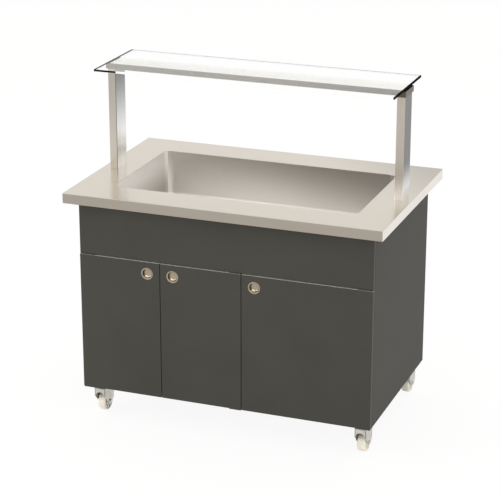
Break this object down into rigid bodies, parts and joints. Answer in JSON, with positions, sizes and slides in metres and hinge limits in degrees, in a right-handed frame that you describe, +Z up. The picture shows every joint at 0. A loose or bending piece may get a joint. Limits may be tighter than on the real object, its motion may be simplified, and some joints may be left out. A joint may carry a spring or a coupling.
{
  "type": "heated buffet trolley",
  "caption": "Mobile buffet counter with a heated well, board cupboards with hinged doors below it, a lamp gantry with a glass shelf above it, and swivel casters",
  "frame": {"origin": "on the floor under the centre of the worktop, between the casters", "axes": "+Z up, the doors face -Y, the controls are on the +Y side, +X is to the right seen from the doors"},
  "size_m": [1.24, 0.8, 1.334],
  "materials": {
    "stainless_sheet": "fine satin grain",
    "well_steel": "satin",
    "laminate": "board faced with matt dark warm grey laminate",
    "core_board": "raw board",
    "shelf_board": "board faced with matt dark warm grey laminate",
    "zinc_steel": "bright zinc plated",
    "pull_metal": "satin nickel",
    "insulation": "mineral wool felt",
    "brass": "plain",
    "lever_red": "dipped",
    "element_steel": "heat tinted",
    "reflector_aluminium": "bright",
    "quartz": "clear quartz",
    "ceramic": "white ceramic",
    "clear_glass": "clear toughened",
    "black_plastic": "fine grain",
    "grey_plastic": "smooth",
    "rocker_red": "gloss",
    "rocker_amber": "gloss",
    "catch_white": "smooth",
    "wheel_polyamide": "cream polyamide"
  },
  "bodies": {
    "trolley": {"worktop": "stainless_sheet", "worktop_core": "core_board", "well_tank": "well_steel", "drain_outlet": "stainless_sheet", "drain_valve": "brass", "heating_element": "element_steel", "well_jacket": "insulation", "left_side_panel": "laminate", "right_side_panel": "laminate", "back_panel": "laminate", "bottom_panel": "laminate", "cupboard_top": "laminate", "front_fascia": "laminate", "partition": "laminate", "left_shelf": "shelf_board", "right_shelf": "shelf_board", "shelf_pins": "zinc_steel", "door_pivots": "zinc_steel", "door_catches": "catch_white", "left_post": "stainless_sheet", "right_post": "stainless_sheet", "post_clamp_plates": "zinc_steel", "gantry_bolts": "zinc_steel", "lamp_hood": "stainless_sheet", "lamp_reflector": "reflector_aluminium", "heat_lamps": "quartz", "lamp_holders": "ceramic", "lamp_guard": "zinc_steel", "glass_shelf": "clear_glass", "control_box": "stainless_sheet", "thermostat": "grey_plastic", "switch_housings": "black_plastic", "cable_gland": "grey_plastic", "caster_plates": "zinc_steel", "caster_screws": "zinc_steel"},
    "left_door": {"left_door": "laminate", "left_pull": "pull_metal", "left_strike": "zinc_steel"},
    "middle_door": {"middle_door": "laminate", "middle_pull": "pull_metal", "middle_strike": "zinc_steel"},
    "right_door": {"right_door": "laminate", "right_pull": "pull_metal", "right_strike": "zinc_steel"},
    "drain_lever": {"drain_lever": "lever_red"},
    "thermostat_knob": {"thermostat_knob": "black_plastic"},
    "power_rocker": {"power_rocker": "rocker_red"},
    "lamp_rocker": {"lamp_rocker": "rocker_amber"},
    "front_left_swivel": {"front_left_fork": "zinc_steel", "front_left_axle": "zinc_steel"},
    "front_left_roller": {"front_left_wheel": "wheel_polyamide"},
    "front_right_swivel": {"front_right_fork": "zinc_steel", "front_right_axle": "zinc_steel"},
    "front_right_roller": {"front_right_wheel": "wheel_polyamide"},
    "back_left_swivel": {"back_left_fork": "zinc_steel", "back_left_axle": "zinc_steel"},
    "back_left_roller": {"back_left_wheel": "wheel_polyamide"},
    "back_right_swivel": {"back_right_fork": "zinc_steel", "back_right_axle": "zinc_steel"},
    "back_right_roller": {"back_right_wheel": "wheel_polyamide"}
  },
  "joints": [
    {"name": "left_door_hinge", "type": "hinge", "parent": "trolley", "child": "left_door", "pos_m": [-0.569, -0.348, 0.396], "axis": [0, 0, -1], "range_deg": [0, 105]},
    {"name": "middle_door_hinge", "type": "hinge", "parent": "trolley", "child": "middle_door", "pos_m": [0.064, -0.348, 0.396], "axis": [0, 0, 1], "range_deg": [0, 105]},
    {"name": "right_door_hinge", "type": "hinge", "parent": "trolley", "child": "right_door", "pos_m": [0.569, -0.348, 0.396], "axis": [0, 0, 1], "range_deg": [0, 105]},
    {"name": "drain_lever_turn", "type": "hinge", "parent": "trolley", "child": "drain_lever", "pos_m": [0.427, -0.19, 0.638], "axis": [0, -1, 0], "range_deg": [0, 90]},
    {"name": "thermostat_turn", "type": "hinge", "parent": "trolley", "child": "thermostat_knob", "pos_m": [-0.398, 0.355, 0.79], "axis": [0, -1, 0], "range_deg": [0, 270]},
    {"name": "power_rocker_tilt", "type": "hinge", "parent": "trolley", "child": "power_rocker", "pos_m": [-0.442, 0.3552, 0.79], "axis": [-1, 0, 0], "range_deg": [0, 16]},
    {"name": "lamp_rocker_tilt", "type": "hinge", "parent": "trolley", "child": "lamp_rocker", "pos_m": [-0.476, 0.3552, 0.79], "axis": [-1, 0, 0], "range_deg": [0, 16]},
    {"name": "front_left_swivel_turn", "type": "hinge", "parent": "trolley", "child": "front_left_swivel", "pos_m": [-0.528, -0.291, 0.1], "axis": [0, 0, 1], "continuous": true},
    {"name": "front_left_wheel_spin", "type": "hinge", "parent": "front_left_swivel", "child": "front_left_roller", "pos_m": [-0.528, -0.269, 0.0375], "axis": [1, 0, 0], "continuous": true},
    {"name": "front_right_swivel_turn", "type": "hinge", "parent": "trolley", "child": "front_right_swivel", "pos_m": [0.528, -0.291, 0.1], "axis": [0, 0, 1], "continuous": true},
    {"name": "front_right_wheel_spin", "type": "hinge", "parent": "front_right_swivel", "child": "front_right_roller", "pos_m": [0.528, -0.269, 0.0375], "axis": [1, 0, 0], "continuous": true},
    {"name": "back_left_swivel_turn", "type": "hinge", "parent": "trolley", "child": "back_left_swivel", "pos_m": [-0.528, 0.291, 0.1], "axis": [0, 0, 1], "continuous": true},
    {"name": "back_left_wheel_spin", "type": "hinge", "parent": "back_left_swivel", "child": "back_left_roller", "pos_m": [-0.528, 0.313, 0.0375], "axis": [1, 0, 0], "continuous": true},
    {"name": "back_right_swivel_turn", "type": "hinge", "parent": "trolley", "child": "back_right_swivel", "pos_m": [0.528, 0.291, 0.1], "axis": [0, 0, 1], "continuous": true},
    {"name": "back_right_wheel_spin", "type": "hinge", "parent": "back_right_swivel", "child": "back_right_roller", "pos_m": [0.528, 0.313, 0.0375], "axis": [1, 0, 0], "continuous": true}
  ]
}
